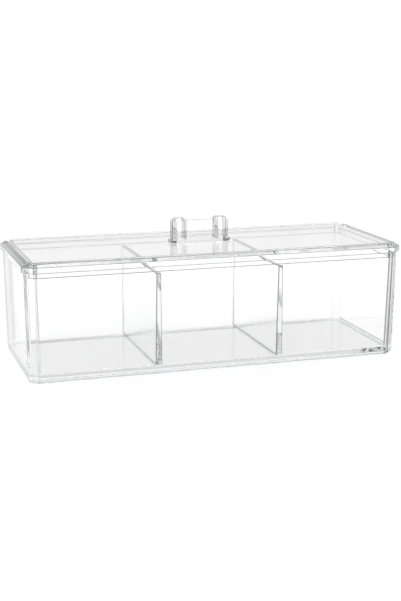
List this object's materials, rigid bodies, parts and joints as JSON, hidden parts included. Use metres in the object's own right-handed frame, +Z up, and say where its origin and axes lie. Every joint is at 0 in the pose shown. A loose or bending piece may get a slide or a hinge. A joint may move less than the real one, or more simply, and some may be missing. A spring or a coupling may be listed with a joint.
{
  "type": "cotton ball and swab holder",
  "caption": "Clear rectangular tray with cut corners, two dividers making three compartments, and a bevelled lift-off lid with a faceted bar handle.",
  "frame": {"origin": "centre of the rectangle that the tray's foot rim rests in, at the surface the holder stands on", "axes": "+X along the holder's length, towards the right-hand compartment; +Y from the front to the back; +Z up"},
  "size_m": [0.243, 0.095, 0.0885],
  "materials": {
    "tray": "clear polished",
    "divider": "clear polished",
    "lid": "clear polished",
    "handle": "clear polished"
  },
  "bodies": {
    "tray": {"tray": "tray", "left_divider": "divider", "right_divider": "divider"},
    "lid": {"lid": "lid", "handle": "handle"}
  },
  "joints": [
    {"name": "lid_lift", "type": "slide", "parent": "tray", "child": "lid", "axis": [0, 0, 1], "range_m": [0, 0.09]}
  ]
}
